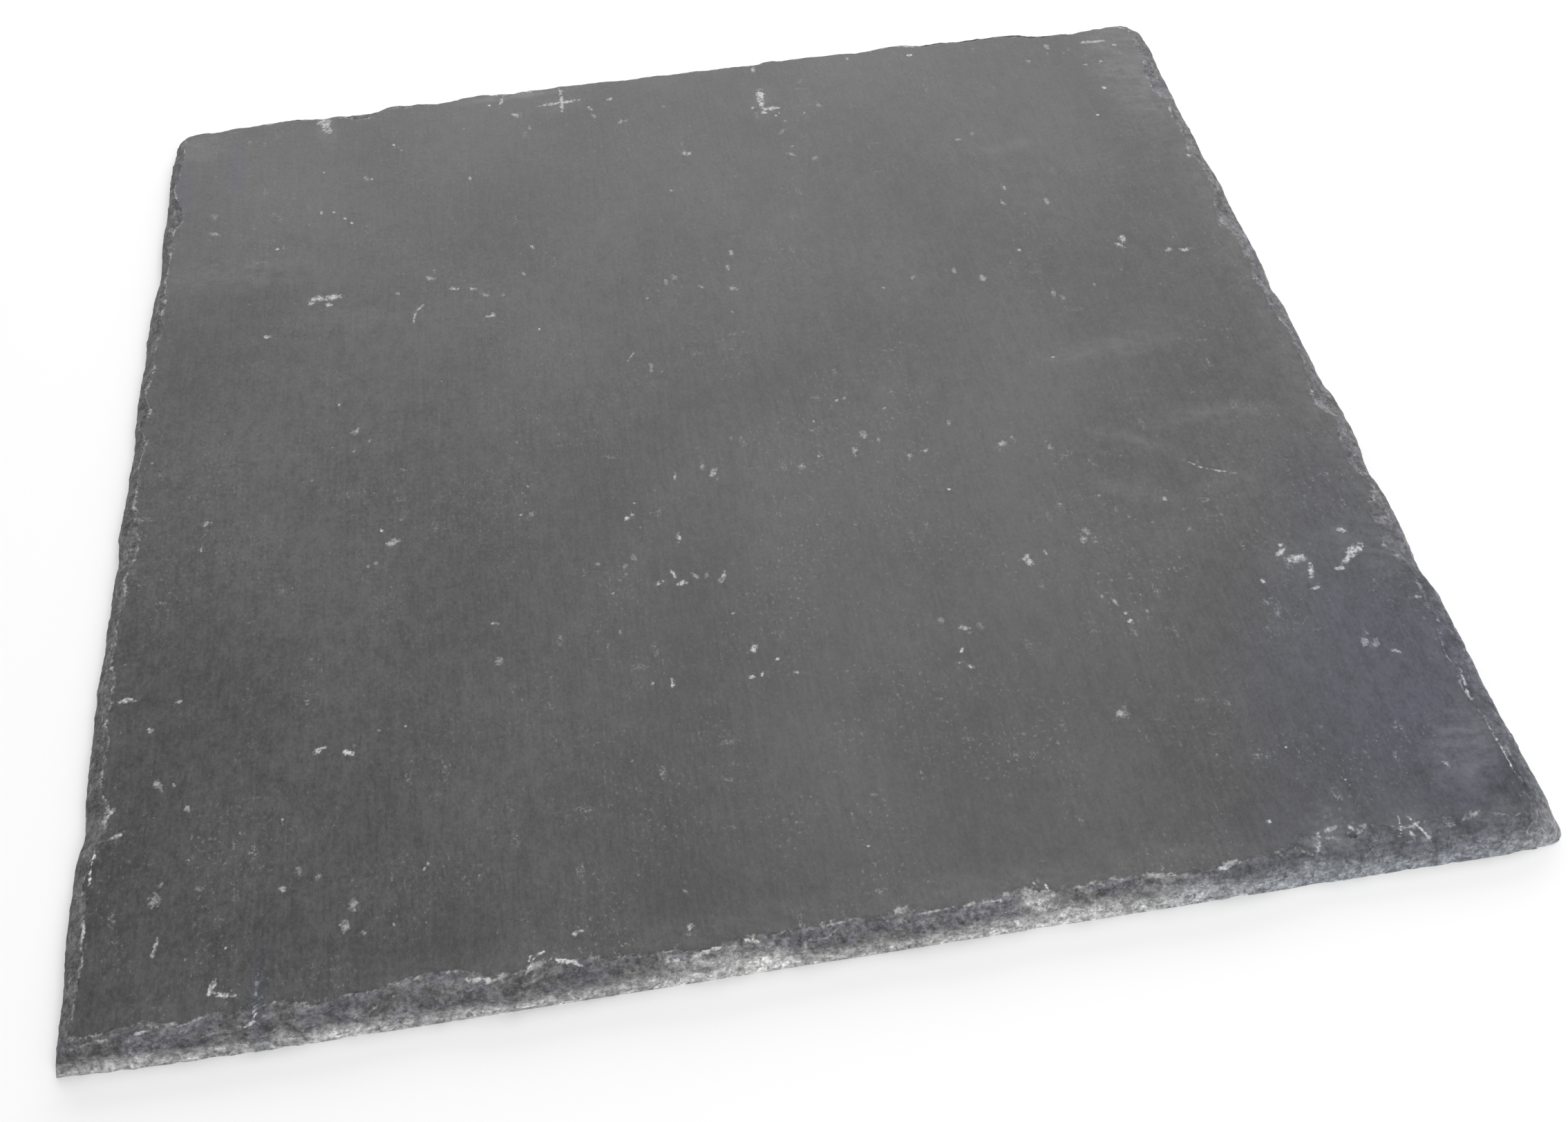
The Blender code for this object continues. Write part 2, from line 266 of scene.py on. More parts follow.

# Pale rubbed haze on the top face, and painted light in the long strips along the right side: x, y,
# length, width, turn, and how pale. Millimetres and degrees.
HAZE_AND_PAINTED_LIGHT = [
    (-125.0, 76.0, 44.0, 15.0, -4, 0.45),
    (-96.0, 52.0, 40.0, 9.0, -8, 0.25),
    (-140.0, 138.0, 14.0, 12.0, 0, 0.5),
    (-45.0, 145.2, 34.0, 3.4, 0, 0.8),
    (-103.0, 137.0, 16.0, 6.0, 90, 0.5),
    (-33.0, 139.0, 18.0, 9.0, 0, 0.35),
    (27.0, 128.0, 18.0, 7.0, 90, 0.4),
    (92.0, 91.0, 22.0, 6.0, 10, 0.35),
    (90.0, 72.0, 24.0, 34.0, 80, 0.12),
    (97.0, 3.0, 42.0, 9.0, 3, 0.45),
    (112.0, 10.0, 16.0, 12.0, 0, 0.25),
    (93.0, -29.0, 22.0, 3.4, -29, 0.6),
    (117.0, -24.4, 26.0, 6.0, -4, 0.6),
    (90.0, -46.0, 24.0, 6.0, -26, 0.4),
    (111.0, -47.0, 14.0, 6.0, 20, 0.35),
    (118.0, -47.6, 7.0, 4.0, 60, 0.6),
    (94.0, -60.0, 18.0, 10.0, 20, 0.25),
    (108.0, -56.0, 26.0, 14.0, 30, 0.2),
    (136.0, -68.0, 22.0, 13.0, 20, 0.55),
    (118.0, -73.0, 14.0, 10.0, 60, 0.3),
    (112.0, -94.0, 20.0, 14.0, -50, 0.25),
    (120.0, -103.0, 34.0, 16.0, 80, 0.15),
    (102.0, -143.0, 9.0, 13.0, 0, 0.90),
    (118.0, -143.5, 8.0, 10.0, 0, 0.80),
    (136.0, -142.5, 20.0, 8.0, 0, 0.70),
    # painted light: the face lit more along the whole right side
    (142.0, 0.0, 290.0, 9.0, 90, 0.35),
    (140.5, -73.0, 20.0, 11.0, 78, 0.8),
    (136.0, -128.0, 26.0, 13.0, 70, 1.00),
    # painted light: the face lit more at the back right
    (138.0, 120.0, 66.0, 22.0, 88, 0.70),
    (0.0, -142.5, 290.0, 8.0, 0, 0.28),
    (128.0, -142.0, 34.0, 7.0, 3, 0.3),
    (117.0, -145.0, 10.0, 7.0, 0, 0.5),
    (-50.0, -142.0, 18.0, 5.0, 0, 0.35),
    (-80.0, -143.0, 16.0, 4.0, 0, 0.35),
]

# Stone of a bluer grey: x, y, length, width, turn, and how strong. Millimetres and degrees.
BLUE_STONE = [
    (112.0, -149.0, 84.0, 9.0, 0, 0.9),
    (128.0, -108.0, 90.0, 60.0, 70, 1.0),
    (135.0, -135.0, 40.0, 26.0, 35, 1.0),
    (112.0, -140.0, 60.0, 24.0, 0, 0.6),
    (132.0, -60.0, 50.0, 26.0, 80, 0.45),
    (-128.5, 124.0, 22.0, 5.0, 90, 0.9),
    (-143.0, 118.0, 24.0, 5.0, 90, 0.7),
    (-110.0, -141.0, 18.0, 3.0, 88, 0.7),
]

CHALK = (0.64, 0.64, 0.63)
BLUE_CHALK = (0.56, 0.59, 0.63)
SLATE = (0.050, 0.050, 0.0505)
BLUE_SLATE = (0.045, 0.0465, 0.063)
BROKEN_SLATE = (0.118, 0.118, 0.120)
PURPLE_SLATE = (0.116, 0.112, 0.129)
BLUE_BROKEN = (0.098, 0.102, 0.122)
GREY_DUST = (0.30, 0.30, 0.305)
BLUE_DUST = (0.30, 0.325, 0.36)
PALE_DUST = (0.72, 0.72, 0.715)
# Painted shade, put in the pits.
PIT_SHADE_COLOUR = (0.02, 0.02, 0.022)
# How strongly the broken edge of each side is tinted purple.
TINT = {"front": 1.0, "right": 0.8, "back": 0.15, "left": 0.1}
# How light the broken stone of each side is.
LIGHTNESS = {"front": 1.0, "right": 1.14, "back": 0.70, "left": 0.85}


# ---------------------------------------------------------------- seeded noise


def lattice(cells, seed):
    """A repeatable random number from 0 to 1 for each row of whole numbers."""
    cells = (np.asarray(cells) + 100000).astype(np.uint64)
    primes = np.array((73856093, 19349663, 83492791)[: cells.shape[-1]], np.uint64)
    limit = np.uint64(0xFFFFFFFF)
    mixed = ((cells * primes).sum(axis=-1) + np.uint64(seed * 1013904223)) & limit
    mixed = ((mixed ^ (mixed >> np.uint64(15))) * np.uint64(2246822519)) & limit
    mixed = ((mixed ^ (mixed >> np.uint64(13))) * np.uint64(3266489917)) & limit
    mixed = mixed ^ (mixed >> np.uint64(16))
    return mixed.astype(float) / float(limit)


def noise(points, seed):
    """Smooth noise from 0 to 1 with a grain of one unit, for points of two or three numbers."""
    points = np.asarray(points, float)
    low = np.floor(points)
    share = points - low
    share = share * share * (3 - 2 * share)
    total = np.zeros(points.shape[:-1])
    for corner in itertools.product((0, 1), repeat=points.shape[-1]):
        weight = np.prod(np.where(corner, share, 1 - share), axis=-1)
        total += weight * lattice(low + np.array(corner), seed)
    return total


def rough(points, seed, octaves=3):
    """Noise with finer grains added, each half as strong as the last, from 0 to 1."""
    points = np.asarray(points, float)
    total = 0.0
    for octave in range(octaves):
        total = total + noise(points * 2.03**octave, seed + octave) / 2**octave
    return total / (2 - 2 ** (1 - octaves))


def scoops(along, across, perimeter, length, width, seed):
    """Hollows of one size of chip, laid out round the slab: their depth, and the crests between them.

    Each hollow is a round dish, and the deeper of two dishes wins, so a sharp crest parts them."""
    count = round(perimeter / length)
    u = along / perimeter * count
    v = across / width
    deepest = np.full(np.shape(u), -1.0)
    second = np.full(np.shape(u), -1.0)
    for step_u, step_v in itertools.product((-1, 0, 1), repeat=2):
        cell_u = np.floor(u) + step_u
        cell_v = np.floor(v) + step_v
        key = np.stack((cell_u % count, cell_v), axis=-1)
        centre_u = cell_u + 0.15 + 0.7 * lattice(key, seed)
        centre_v = cell_v + 0.15 + 0.7 * lattice(key, seed + 1)
        size = 0.6 + 0.6 * lattice(key, seed + 2)
        dish = size - (u - centre_u) ** 2 - (v - centre_v) ** 2
        second = np.maximum(second, np.minimum(dish, deepest))
        deepest = np.maximum(deepest, dish)
    return deepest, 1 - smooth_step(0.0, 0.16, deepest - second)


def smooth_step(low, high, value):
    share = np.clip((value - low) / (high - low), 0.0, 1.0)
    return share * share * (3 - 2 * share)


# ---------------------------------------------------------------- the outline, read from the frame


def cad_rings():
    """The CAD slab's three rings, foot, shoulder and rim, each ordered by its angle about Z."""
    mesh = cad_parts["slate_slab"].data
    points = np.array([v.co for v in mesh.vertices], float)
    points = np.unique(points.round(7), axis=0)
    foot = points[:, 2] < 0.1 * MM
    rim = points[:, 2] > TOP - 0.1 * MM
    rings = []
    for chosen in (foot, ~foot & ~rim, rim):
        ring = points[chosen]
        rings.append(ring[np.argsort(np.arctan2(ring[:, 1], ring[:, 0]))])
    return rings


def square_directions():
    """Directions from the centre to points spaced evenly round a square, anticlockwise."""
    per_side = STATIONS // 4
    step = 2 * np.arange(per_side) / per_side - 1
    one = np.ones(per_side)
    sides = [(step, -one), (one, step), (-step, one), (-one, -step)]
    points = np.concatenate([np.column_stack(side) for side in sides])
    return points / np.linalg.norm(points, axis=1)[:, None]


def where_rays_cross(ring, directions):
    """The points where rays from the centre cross a closed ring."""
    angles = np.arctan2(ring[:, 1], ring[:, 0])
    wanted = np.arctan2(directions[:, 1], directions[:, 0])
    after = np.searchsorted(angles, wanted) % len(ring)
    a = ring[after - 1]
    b = ring[after]
    edge = b - a
    turn = directions[:, 0] * edge[:, 1] - directions[:, 1] * edge[:, 0]
    share = (a[:, 0] * directions[:, 1] - a[:, 1] * directions[:, 0]) / turn
    return a + edge * np.clip(share, 0, 1)[:, None]


def smoothed(ring):
    """A ring with each point blended with its neighbours, so that the CAD's short facets go."""
    reach = SMOOTHED_STATIONS
    weights = np.cos(np.linspace(-1, 1, 2 * reach + 1) * math.pi / 2.2)
    steps = range(-reach, reach + 1)
    blend = sum(w * np.roll(ring, step, axis=0) for w, step in zip(weights, steps)) / weights.sum()
    corner = smooth_step(0.93, 0.97, np.abs(ring[:, :2] / HIGH[:2]).min(axis=1))[:, None]
    return blend * (1 - corner) + ring * corner


def outline_bulge(points):
    """How far the outline stands out past the CAD's at each point, in metres: less than 0 in a nick."""
    total = np.zeros(len(points))
    for side, axis in (("front", 0), ("right", 1), ("back", 0), ("left", 1)):
        place, bulge = zip(*OUTLINE[side])
        only = {name: float(name == side) for name in OUTLINE}
        total += by_side(points, only) * np.interp(points[:, axis] / MM, place, bulge)
    return total * MM


def outward_normals(ring, reach=4):
    """Level unit vectors that point out of the stone, from each point's neighbours."""
    tangent = np.roll(ring, -reach, axis=0) - np.roll(ring, reach, axis=0)
    normal = np.column_stack((tangent[:, 1], -tangent[:, 0]))
    return normal / np.linalg.norm(normal, axis=1)[:, None]


def by_side(points, values):
    """A side's value near each point, blended between neighbouring sides at the corners."""
    share = points[:, :2] / HIGH[:2]
    weights = {
        "front": np.clip(-share[:, 1], 0, 1) ** CORNER_SHARPNESS,
        "right": np.clip(share[:, 0], 0, 1) ** CORNER_SHARPNESS,
        "back": np.clip(share[:, 1], 0, 1) ** CORNER_SHARPNESS,
        "left": np.clip(-share[:, 0], 0, 1) ** CORNER_SHARPNESS,
    }
    total = sum(weights.values()) + 1e-12
    return sum(values[side] * weight for side, weight in weights.items()) / total


# ---------------------------------------------------------------- the stone's surface


def face_height(points):
    """The riven top face: long low swells, drawn out along Y, and fine grain."""
    mm = points[:, :2] / MM
    swell = rough(mm / np.array((70.0, 110.0)), 11)
    lines = rough(mm / np.array((9.0, 40.0)), 21)
    grain = noise(mm / 4.1, 31)
    return TOP - FACE_RELIEF_MM * MM * (0.6 * swell + 0.2 * lines + 0.2 * grain)


def under_height(points):
    """The riven underside: it rests on its high spots, and lies a little off the table elsewhere."""
    mm = points[:, :2] / MM
    swell = rough(mm / np.array((55.0, 80.0)), 41)
    grain = rough(mm / 9.0, 51)
    raised = 0.75 * swell + 0.25 * grain
    return UNDER_RELIEF_MM * MM * np.clip(1.6 * raised - 0.4, 0, 1)


def ledges(points):
    """How far each thin layer of the cleavage is broken back, in metres, either way from the mean."""
    mm = points / MM
    layer = np.floor((mm[:, 2] + 0.7 * noise(mm[:, :2] / 14.0, 61)) / LAYER_MM)
    place = np.column_stack((mm[:, :2] / 3.4, 7.3 * layer))
    return 0.40 * MM * (noise(place, 71) - 0.5)


def chips(points, along, across, share):
    """How deep the dressing blows cut, in metres, and where the crests between them are.

    The share is how much of the larger chips is left there: less than one near the foot."""
    perimeter = 4 * (HIGH[0] - LOW[0]) / MM
    large, large_crest = scoops(along, across, perimeter, 12.0, 7.0, 81)
    middle, middle_crest = scoops(along, across, perimeter, 4.2, 2.4, 84)
    small, small_crest = scoops(along, across, perimeter, 1.8, 1.2, 87)
    grain = rough(points / (0.9 * MM), 91)
    depth = MM * (share * (0.95 * large + 0.45 * middle - 1.0) + 0.22 * small + 0.3 * grain - 0.24)
    crest = np.maximum(large_crest, np.maximum(0.7 * middle_crest, 0.35 * small_crest))
    return depth, crest


def pits(points):
    """The depth, in metres, of the pits and cracks of the front edge, which are painted dark as shade.
    """
    mm = points / MM
    depth = np.zeros(len(points))
    for x, y, half_x, half_y, deep in PITS:
        distance = ((mm[:, 0] - x) / half_x) ** 2 + ((mm[:, 1] - y) / half_y) ** 2
        depth += deep * np.exp(-(distance**2))
    return depth * MM


def worn(points):
    """The share of its height that the stone keeps: less than one only near the worn corner."""
    x, y, reach, lost = WORN_CORNER
    distance = np.hypot(points[:, 0] / MM - x, points[:, 1] / MM - y)
    return 1 - lost * np.exp(-((distance / reach) ** 2))


def ellipse_distance(points, mark):
    """How far each point is from a mark's centre: 0 at the centre, and 1 on the mark's rim."""
    x, y, length, width, turn = mark[:5]
    angle = math.radians(turn)
    away = points[:, :2] / MM - np.array((x, y))
    along = away @ np.array((math.cos(angle), math.sin(angle))) / (length / 2)
    across = away @ np.array((-math.sin(angle), math.cos(angle))) / (width / 2)
    return np.hypot(along, across)


def painted(points, marks):
    """How strong the strongest mark is at each point: full inside a mark, and fading past its rim."""
    value = np.zeros(len(points))
    for mark in marks:
        distance = ellipse_distance(points, mark)
        strength = mark[5]
        value = np.maximum(value, strength * (1 - smooth_step(0.3, 1.5, distance)))
    return value


def faint_scuffs():
    """The fainter scuffs, in the same form as the others."""
    random = np.random.default_rng(FAINT_SEED)
    marks = []
    for _cluster in range(FAINT_CLUSTERS):
        x = FAINT_REACH_MM * random.uniform(-1, 1)
        y = FAINT_REACH_MM * (2 * random.uniform() ** 1.3 - 1)
        for _mark in range(random.integers(*FAINT_PER_CLUSTER)):
            away_x, away_y = random.normal(0, FAINT_SPREAD_MM, 2)
            length = random.uniform(*FAINT_LENGTH_MM)
            width = length * random.uniform(*FAINT_SHAPE)
            turn = 90 + random.normal(0, FAINT_TURN_SPREAD)
            pale = random.uniform(*FAINT_PALENESS)
            marks.append((x + away_x, y + away_y, length, width, turn, pale))
    return marks


def all_scuffs():
    face = [(*scuff[:5], FACE_PALENESS * scuff[5]) for scuff in FACE_SCUFFS]
    return RIM_SCUFFS + face + faint_scuffs()


def scuffed(points):
    """The nearest scuff at each point: how far inside it the point is, and how pale the scuff is."""
    inside = np.zeros(len(points))
    pale = np.zeros(len(points))
    for scuff in all_scuffs():
        distance = ellipse_distance(points, scuff)
        depth = np.clip(1 - distance / 1.5, 0, 1)
        pale = np.where(depth > inside, scuff[5], pale)
        inside = np.maximum(inside, depth)
    return inside, pale


# ---------------------------------------------------------------- the edge


class Edge:
    """The plain edge: a foot, a shoulder and a rim all round, and what is known at each station."""

    def __init__(self):
        self.rays = square_directions()
        rings = [smoothed(where_rays_cross(ring, self.rays)) for ring in cad_rings()]
        self.outward = outward_normals(rings[0])
        bulge = outline_bulge(rings[0])
        for level, ring in enumerate(rings):
            share = by_side(ring, {side: shares[level] for side, shares in OUTLINE_SHARES.items()})
            ring[:, :2] += self.outward * (bulge * share)[:, None]
        self.foot, self.shoulder, self.rim = rings
        self.chipping = by_side(self.foot, CHIPPING)
        steps = np.linalg.norm(np.roll(self.foot, -1, axis=0) - self.foot, axis=1)
        self.along = (np.cumsum(steps) - steps[0]) / steps.sum() * self.perimeter_mm()
        self.shoulder_mm = self.shoulder[:, 2] / MM
        self.slope_mm = np.linalg.norm(self.rim - self.shoulder, axis=1) / MM

    def perimeter_mm(self):
        return 4 * (HIGH[0] - LOW[0]) / MM

    def cut(self, base, across, upright):
        """A row of the edge after dressing: cut back from outside, or down from above."""
        low = np.clip(base[:, 2] / self.shoulder[:, 2], 0, 1)
        share = FOOT_SHARE + (1 - FOOT_SHARE) * low
        depth, crest = chips(base, self.along, across, share)
        depth = self.chipping * depth + ledges(base) * self.chipping
        row = base.copy()
        row[:, :2] -= self.outward * (depth * upright)[:, None]
        row[:, 2] -= depth * (1 - upright) + pits(base)
        row[:, 2] *= worn(base)
        return row, crest

    def within(self, points):
        """For points inside the rim: their inset from it in mm, their place along, and the chipping."""
        turn = np.arctan2(self.rays[:, 1], self.rays[:, 0])
        turn = np.append(np.unwrap(turn), turn[0] + math.tau)
        wanted = np.arctan2(points[:, 1], points[:, 0])
        wanted = np.where(wanted < turn[0], wanted + math.tau, wanted)

        def at(values, last=None):
            values = np.append(values, values[0] if last is None else last)
            return np.interp(wanted, turn, values)

        reach = at(np.linalg.norm(self.rim[:, :2], axis=1))
        inset = (reach - np.linalg.norm(points[:, :2], axis=1)) / MM
        along = at(self.along, self.perimeter_mm())
        across = at(self.shoulder_mm + self.slope_mm) + inset
        return inset, along, across, at(self.chipping)

    def top(self, points):
        """The surface at points inside the rim: height, how broken, how crushed, and the crests."""
        inset, along, across, chipping = self.within(points)
        base = np.column_stack((points[:, :2], TOP + LIP_RISE * inset * MM))
        near = inset < CHIP_REACH_MM
        depth = np.zeros(len(points))
        crest = np.zeros(len(points))
        depth[near], crest[near] = chips(base[near], along[near], across[near], 1.0)
        slope = base[:, 2] - chipping * depth - pits(base)
        face = face_height(points) - 0.5 * pits(points)
        return meet(face * worn(points), slope * worn(points)) + (crest,)


def meet(face, slope):
    """The lower of the face and the broken slope, how broken it is there, and how near their line."""
    under = face - slope
    broken = smooth_step(0.0, 0.12 * MM, under)
    crushed = np.exp(-(((under - 0.05 * MM) / (0.22 * MM)) ** 2))
    return np.minimum(face, slope), broken, crushed


def dust(points):
    """How much pale rock dust lies on the edge near each point."""
    shares = by_side(points, dict(WALL_DUST, front=0.0))
    x, share = zip(*FRONT_DUST)
    front = by_side(points, {"front": 1.0, "right": 0.0, "back": 0.0, "left": 0.0})
    shares += front * np.interp(points[:, 0] / MM, x, share)
    for x, z, half_x, half_z, pale in FRONT_PATCHES:
        away = ((points[:, 0] / MM - x) / half_x) ** 2 + ((points[:, 2] / MM - z) / half_z) ** 2
        shares = np.maximum(shares, shares + front * pale * np.exp(-away))
    return shares


# ---------------------------------------------------------------- the mesh


class Rows:
    """The mesh as it grows: its points, its faces, and a few numbers kept for each point."""

    def __init__(self):
        self.points = []
        self.faces = []
        self.marks = {"broken": [], "crushed": [], "crest": []}
        self.count = 0

    def add_points(self, points, broken=0.0, crushed=0.0, crest=0.0):
        """Adds points, kept inside the CAD box, and returns their numbers."""
        self.points.append(np.clip(points, LOW, HIGH))
        for name, value in (("broken", broken), ("crushed", crushed), ("crest", crest)):
            self.marks[name].append(np.broadcast_to(value, len(points)))
        numbers = np.arange(self.count, self.count + len(points))
        self.count += len(points)
        return numbers

    def add_strip(self, outer, inner):
        """Joins two rings of the same length with quads, the outer ring being lower or further out."""
        quads = np.column_stack((outer, np.roll(outer, -1), np.roll(inner, -1), inner))
        self.faces += quads.tolist()

    def add_sheet(self, rim, outline, inside, surface, faces_up):
        """Fills a ring with triangles through the points inside it, laid on a surface."""
        flat = [Vector(p) for p in np.concatenate((outline[:, :2], inside)).tolist()]
        around = len(outline)
        edges = [(i, (i + 1) % around) for i in range(around)]
        made = delaunay_2d_cdt(flat, edges, [], 1, 1e-7)
        used = sorted({i for face in made[2] for i in face if i >= around})
        spots = np.array([(made[0][i].x, made[0][i].y, 0.0) for i in used])
        spots[:, 2], *marks = surface(spots)
        numbers = dict(zip(used, self.add_points(spots, *marks).tolist()))
        numbers.update(enumerate(rim.tolist()))
        for face in made[2]:
            corners = [numbers[i] for i in face]
            self.faces.append(corners if faces_up else corners[::-1])


def grid_inside(outline, pitch, seed):
    """Points of a loose grid that lie inside a ring, a little away from it."""
    low = outline[:, :2].min(axis=0)
    high = outline[:, :2].max(axis=0)
    counts = np.floor((high - low) / pitch).astype(int)
    columns, lines = np.meshgrid(np.arange(1, counts[0]), np.arange(1, counts[1]))
    cells = np.column_stack((columns.ravel(), lines.ravel()))
    shake = np.column_stack((lattice(cells, seed), lattice(cells, seed + 1))) - 0.5
    spots = low + (cells + 0.5 * shake) * (high - low) / (counts + 1)
    return spots[depth_inside(outline, spots) > 0.6 * pitch]


def depth_inside(outline, spots):
    """How far each spot is inside a ring, measured along the ray from the centre."""
    rays = spots / np.maximum(np.linalg.norm(spots, axis=1), 1e-9)[:, None]
    edge = where_rays_cross(outline, rays)
    return np.linalg.norm(edge[:, :2], axis=1) - np.linalg.norm(spots, axis=1)


def scuff_spots():
    """Extra mesh points along and round each scuff, so that the mesh is fine where a scuff is."""
    spots = []
    for x, y, length, width, turn, _pale in all_scuffs():
        angle = math.radians(turn)
        ahead = np.array((math.cos(angle), math.sin(angle)))
        aside = np.array((-math.sin(angle), math.cos(angle)))
        for ring in (0.2, 0.85, 1.5):
            half_length = ring * length / 2
            half_width = ring * width / 2
            count = max(5, round(math.pi * (half_length + half_width) / SCUFF_STEP_MM))
            for step in range(count):
                way = math.tau * (step + ring) / count
                offset = half_length * math.cos(way) * ahead + half_width * math.sin(way) * aside
                spots.append((x + offset[0], y + offset[1]))
    return np.unique((np.array(spots) / SCUFF_GRID_MM).round(), axis=0) * SCUFF_GRID_MM * MM


def slab_mesh():
    edge = Edge()
    rows = Rows()
    ring = None
    for row in range(WALL_ROWS):
        share = row / WALL_ROWS
        base = edge.foot + (edge.shoulder - edge.foot) * share
        wall, crest = edge.cut(base, edge.shoulder_mm * share, np.ones(STATIONS))
        if row == 0:
            wall[:, 2] = 0.0
            foot = np.clip(wall, LOW, HIGH)
        above = rows.add_points(wall, broken=1.0, crest=crest)
        if row == 0:
            foot_ring = above
        else:
            rows.add_strip(ring, above)
        ring = above
    for row in range(SLOPE_ROWS + 1):
        share = row / SLOPE_ROWS
        base = edge.shoulder + (edge.rim - edge.shoulder) * share
        base[:, 2] += (edge.rim[:, 2] - edge.shoulder[:, 2]) * 0.35 * share * (1 - share)
        upright = 1 - smooth_step(0.0, 0.6, np.full(STATIONS, share))
        slope, crest = edge.cut(base, edge.shoulder_mm + edge.slope_mm * share, upright)
        slope[:, 2], broken, crushed = meet(face_height(slope) * worn(slope), slope[:, 2])
        above = rows.add_points(slope, broken, crushed, crest)
        rows.add_strip(ring, above)
        ring = above
    for inset in LIP_MM:
        lip = edge.rim.copy()
        lip[:, :2] -= edge.rays * inset * MM
        lip[:, 2], *marks = edge.top(lip)
        above = rows.add_points(lip, *marks)
        rows.add_strip(ring, above)
        ring = above
    near = grid_inside(lip, NEAR_GRID_MM * MM, 101)
    near = near[depth_inside(lip, near) < NEAR_EDGE_MM * MM]
    far = grid_inside(lip, FACE_GRID_MM * MM, 103)
    far = far[depth_inside(lip, far) > NEAR_EDGE_MM * MM]
    scuffs = scuff_spots()
    scuffs = scuffs[depth_inside(lip, scuffs) > 0.2 * MM]
    rows.add_sheet(ring, lip, np.concatenate((near, far, scuffs)), edge.top, True)

    ring = foot_ring
    for inset in UNDER_MM:
        base = foot.copy()
        base[:, :2] -= edge.rays * inset * MM
        base[:, 2] = under_height(base) * smooth_step(0.0, 4.0, np.full(STATIONS, inset))
        below = rows.add_points(base)
        rows.add_strip(below, ring)
        ring = below
    spots = grid_inside(base, UNDER_GRID_MM * MM, 111)
    rows.add_sheet(ring, base, spots, lambda points: (under_height(points),), False)
    return rows


def slab_object():
    rows = slab_mesh()
    points = np.concatenate(rows.points)
    mesh = bpy.data.meshes.new("slate_slab_stone")
    mesh.from_pydata(points.tolist(), [], rows.faces)
    mesh.validate()
    values = {name: np.concatenate(parts) for name, parts in rows.marks.items()}
    on_top = points[:, 2] > TOP - SCUFF_DEPTH_MM * MM
    inside, pale = scuffed(points)
    values["chalk"] = inside * on_top
    values["pale"] = pale
    values["haze_and_light"] = painted(points, HAZE_AND_PAINTED_LIGHT) * on_top
    values["blue"] = painted(points, BLUE_STONE)
    values["pit_shade"] = np.clip(pits(points) / (0.5 * MM), 0, 1) * on_top
    values["dust"] = dust(points)
    values["tint"] = by_side(points, TINT)
    values["light"] = by_side(points, LIGHTNESS)
    for name, value in values.items():
        layer = mesh.attributes.new(name, "FLOAT", "POINT")
        layer.data.foreach_set("value", value.astype(np.float32))
    mesh.shade_smooth()
    mesh.set_sharp_from_angle(angle=SHARP_ANGLE)
    stone = bpy.data.objects.new("slate_slab_stone", mesh)
    bpy.context.scene.collection.objects.link(stone)
    return stone


# ---------------------------------------------------------------- the material


